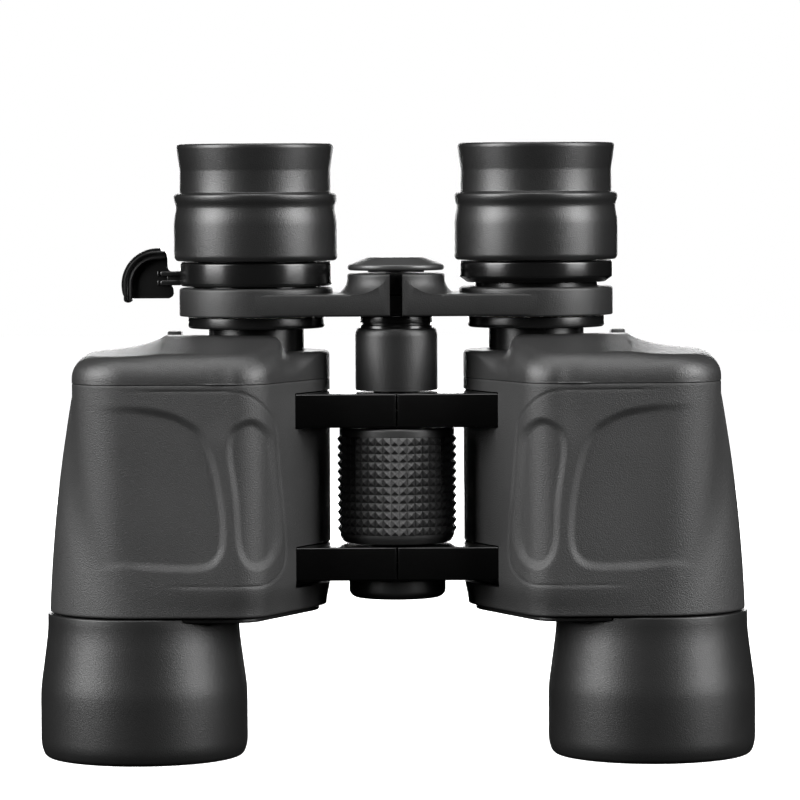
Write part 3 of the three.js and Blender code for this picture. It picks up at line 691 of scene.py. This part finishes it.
# ------------------------------------------------------------------ materials
def ramp_between(tree, source, low, high):
    node = tree.nodes.new("ShaderNodeMapRange")
    node.inputs["To Min"].default_value = low
    node.inputs["To Max"].default_value = high
    tree.links.new(source, node.inputs["Value"])
    return node.outputs["Result"]


def noise(tree, scale, detail=3.0, roughness=0.55, stretch=(1, 1, 1)):
    place = tree.nodes.new("ShaderNodeTexCoord")
    mapping = tree.nodes.new("ShaderNodeMapping")
    mapping.inputs["Scale"].default_value = stretch
    tree.links.new(place.outputs["Object"], mapping.inputs["Vector"])
    node = tree.nodes.new("ShaderNodeTexNoise")
    node.inputs["Scale"].default_value = scale
    node.inputs["Detail"].default_value = detail
    node.inputs["Roughness"].default_value = roughness
    tree.links.new(mapping.outputs["Vector"], node.inputs["Vector"])
    return node.outputs["Fac"]


def material(name, dark, light, rough, grain, bump, spec=0.5, metal=0.0, stretch=(1, 1, 1), extra=None):
    """A procedural finish: colour and roughness drift over the surface, and a fine grain stands in relief.

    dark and light are grey levels or colours, rough is the range of roughness and grain the grains per metre.
    """
    made = bpy.data.materials.new(name)
    made.use_nodes = True
    tree = made.node_tree
    shader = tree.nodes["Principled BSDF"]
    shader.inputs["Metallic"].default_value = metal
    shader.inputs["Specular IOR Level"].default_value = spec
    for key, value in (extra or {}).items():
        shader.inputs[key].default_value = value
    as_color = lambda c: (*(c if isinstance(c, tuple) else (c, c, c)), 1.0)
    broad = noise(tree, 60, 4)
    fine = noise(tree, grain, 2, 0.6, stretch)
    blend = tree.nodes.new("ShaderNodeMath")
    blend.operation = "MULTIPLY_ADD"
    blend.inputs[1].default_value = 0.5
    tree.links.new(fine, blend.inputs[0])
    tree.links.new(ramp_between(tree, broad, 0.0, 0.6), blend.inputs[2])
    mix = tree.nodes.new("ShaderNodeMix")
    mix.data_type = "RGBA"
    mix.inputs["A"].default_value = as_color(dark)
    mix.inputs["B"].default_value = as_color(light)
    tree.links.new(blend.outputs[0], mix.inputs["Factor"])
    tree.links.new(mix.outputs["Result"], shader.inputs["Base Color"])
    tree.links.new(ramp_between(tree, broad, *rough), shader.inputs["Roughness"])
    relief_node = tree.nodes.new("ShaderNodeBump")
    relief_node.inputs["Strength"].default_value = bump
    relief_node.inputs["Distance"].default_value = 0.0002
    tree.links.new(fine, relief_node.inputs["Height"])
    tree.links.new(relief_node.outputs["Normal"], shader.inputs["Normal"])
    return made


TURNED = (1, 1, 9)
FINISHES = {
    "armour_rubber": dict(dark=0.008, light=0.02, rough=(0.52, 0.6), grain=3200, bump=0.75, spec=0.55),
    "cover_rubber": dict(dark=0.009, light=0.018, rough=(0.4, 0.48), grain=3200, bump=0.6, spec=0.6),
    "gloss_paint": dict(dark=0.0018, light=0.0034, rough=(0.17, 0.24), grain=500, bump=0.05, spec=0.45),
    "satin_paint": dict(dark=0.004, light=0.009, rough=(0.4, 0.46), grain=3300, bump=0.28, spec=0.46),
    "tube_paint": dict(dark=0.003, light=0.005, rough=(0.22, 0.3), grain=1800, bump=0.08, spec=0.4),
    "ring_paint": dict(dark=0.003, light=0.005, rough=(0.2, 0.26), grain=1600, bump=0.06, spec=0.42),
    "arm_plastic": dict(dark=0.008, light=0.014, rough=(0.42, 0.5), grain=3200, bump=0.4, spec=0.42),
    "cap_plastic": dict(dark=0.022, light=0.03, rough=(0.34, 0.44), grain=3200, bump=0.22, spec=0.6),
    "black_plastic": dict(dark=0.008, light=0.012, rough=(0.4, 0.5), grain=2200, bump=0.2, spec=0.5),
    "lever_plastic": dict(dark=0.006, light=0.009, rough=(0.26, 0.34), grain=2400, bump=0.12, spec=0.5),
    "grip_rubber": dict(dark=0.018, light=0.027, rough=(0.36, 0.44), grain=3000, bump=0.25, spec=0.6),
    "eyecup_rubber": dict(dark=0.005, light=0.011, rough=(0.33, 0.4), grain=3300, bump=0.3, spec=0.5),
    "steel": dict(dark=0.5, light=0.62, rough=(0.22, 0.34), grain=900, bump=0.1, metal=1.0, stretch=TURNED),
    "brass": dict(
        dark=(0.55, 0.40, 0.18), light=(0.66, 0.5, 0.25), rough=(0.25, 0.36), grain=900, bump=0.1, metal=1.0,
        stretch=TURNED,
    ),
    "glass": dict(
        dark=(0.55, 0.68, 0.62), light=(0.62, 0.74, 0.70), rough=(0.02, 0.04), grain=300, bump=0.01,
        extra={
            "Transmission Weight": 0.85, "Coat Weight": 0.6, "Coat Roughness": 0.03,
            "Coat Tint": (0.55, 0.85, 0.72, 1.0),
        },
    ),
}
SLOT_MATERIALS = {slot: material(slot, **finish) for slot, finish in FINISHES.items()}
NODE_SLOT = {row["node"]: row["material_slot"] for row in frame["record"]["subparts"]}
NODE_BODY = {node: body for body, nodes in frame["record"]["behaviour"]["bodies"].items() for node in nodes}


def stand_for(obj, node, sharp=32, slot=None):
    """Makes a fine shape the visible form of one CAD node, on that node's body and in its finish."""
    slot = slot or NODE_SLOT[node]
    obj.name = obj.data.name = f"{node}_fine"
    obj.data.materials.clear()
    obj.data.materials.append(SLOT_MATERIALS[slot])
    obj.data.shade_smooth()
    obj.data.set_sharp_from_angle(angle=math.radians(sharp))
    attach(obj, NODE_BODY[node])
    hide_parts(node)


# ------------------------------------------------------------------ building
aim_camera()

for node, obj in frame["nodes"].items():
    finish = SLOT_MATERIALS[NODE_SLOT[node]]
    if not obj.material_slots:
        obj.data.materials.append(finish)
    for material_slot in obj.material_slots:
        material_slot.material = finish

for side in SIDES:
    stand_for(make_armour(side), f"{side}_armour")
    stand_for(make_rear_cover(side), f"{side}_rear_cover")
    stand_for(make_front_cover(side), f"{side}_front_cover")
    stand_for(make_housing(side), f"{side}_housing")
    stand_for(make_arm(side), f"{side}_eyepiece_arm")
    stand_for(lathe("barrel", BARREL, at_objective(side), 192), f"{side}_objective_barrel")
    stand_for(lathe("eyecup", EYECUP, at_eyepiece(side), 160), f"{side}_eyecup")
    stand_for(lathe("tube", TUBE, at_eyepiece(side)), f"{side}_eyepiece_tube")

stand_for(lathe("ring", ZOOM_RING, at_eyepiece("right"), 160), "zoom_ring")
stand_for(lathe("ring", DIOPTER_RING, at_eyepiece("left"), 160), "diopter_ring")
stand_for(make_lever(), "zoom_lever")
stand_for(lathe("tube", UPPER_TUBE, HINGE), "upper_hinge_tube")
stand_for(lathe("sleeve", GUIDE_SLEEVE, HINGE), "guide_sleeve")
stand_for(lathe("cap", BRIDGE_CAP, HINGE, closed=False), "bridge_cap")
stand_for(lathe("cap", END_CAP, HINGE, closed=False), "hinge_end_cap", slot="satin_paint")
stand_for(lathe("hub", WHEEL_HUB, HINGE), "focus_wheel_hub")
stand_for(make_grip(), "focus_wheel_grip", sharp=24)


# ------------------------------------------------------------------ studio
def softbox(name, azimuth, elevation, distance, width, height, power, target=(0, 0, 0.08)):
    """A rectangular light that faces the object from a direction seen from above the camera's line."""
    data = bpy.data.lights.new(name, "AREA")
    data.shape = "RECTANGLE"
    data.size, data.size_y = width, height
    data.energy = power
    light = bpy.data.objects.new(name, data)
    a, e = math.radians(azimuth), math.radians(elevation)
    way = np.array([math.sin(a) * math.cos(e), -math.cos(a) * math.cos(e), math.sin(e)])
    light.location = np.array(target) + distance * way
    light.rotation_euler = (math.pi / 2 - e, 0, a)
    light.visible_camera = False
    scene.collection.objects.link(light)


softbox("left_softbox", -66, 23, 1.1, 0.6, 0.8, 26)
softbox("right_softbox", 63, 23, 1.1, 0.58, 0.8, 24)
softbox("back_light", 180, 8, 1.0, 0.6, 0.3, 5)
softbox("top_light", 0, 80, 1.2, 1.0, 0.6, 11)

world = bpy.data.worlds.new("studio")
world.use_nodes = True
world.node_tree.nodes["Background"].inputs["Color"].default_value = (1, 1, 1, 1)
world.node_tree.nodes["Background"].inputs["Strength"].default_value = 1.0
world.cycles_visibility.diffuse = False
world.cycles_visibility.glossy = False
scene.world = world
scene.view_settings.view_transform = "Standard"


def make_floor():
    """A wide pale floor, with a faint unevenness."""
    size = 3000
    corners = [(-size, -size, 0), (size, -size, 0), (size, size, 0), (-size, size, 0)]
    floor = bare("floor", corners, [[0, 1, 2, 3]])
    made = material("floor_paper", 0.80, 0.86, (0.8, 0.9), 300, 0.02)
    shader = made.node_tree.nodes["Principled BSDF"]
    shader.inputs["Emission Color"].default_value = (1, 1, 1, 1)
    shader.inputs["Emission Strength"].default_value = 1.0
    floor.data.materials.append(made)
    floor.visible_diffuse = False
    floor.visible_glossy = False


make_floor()
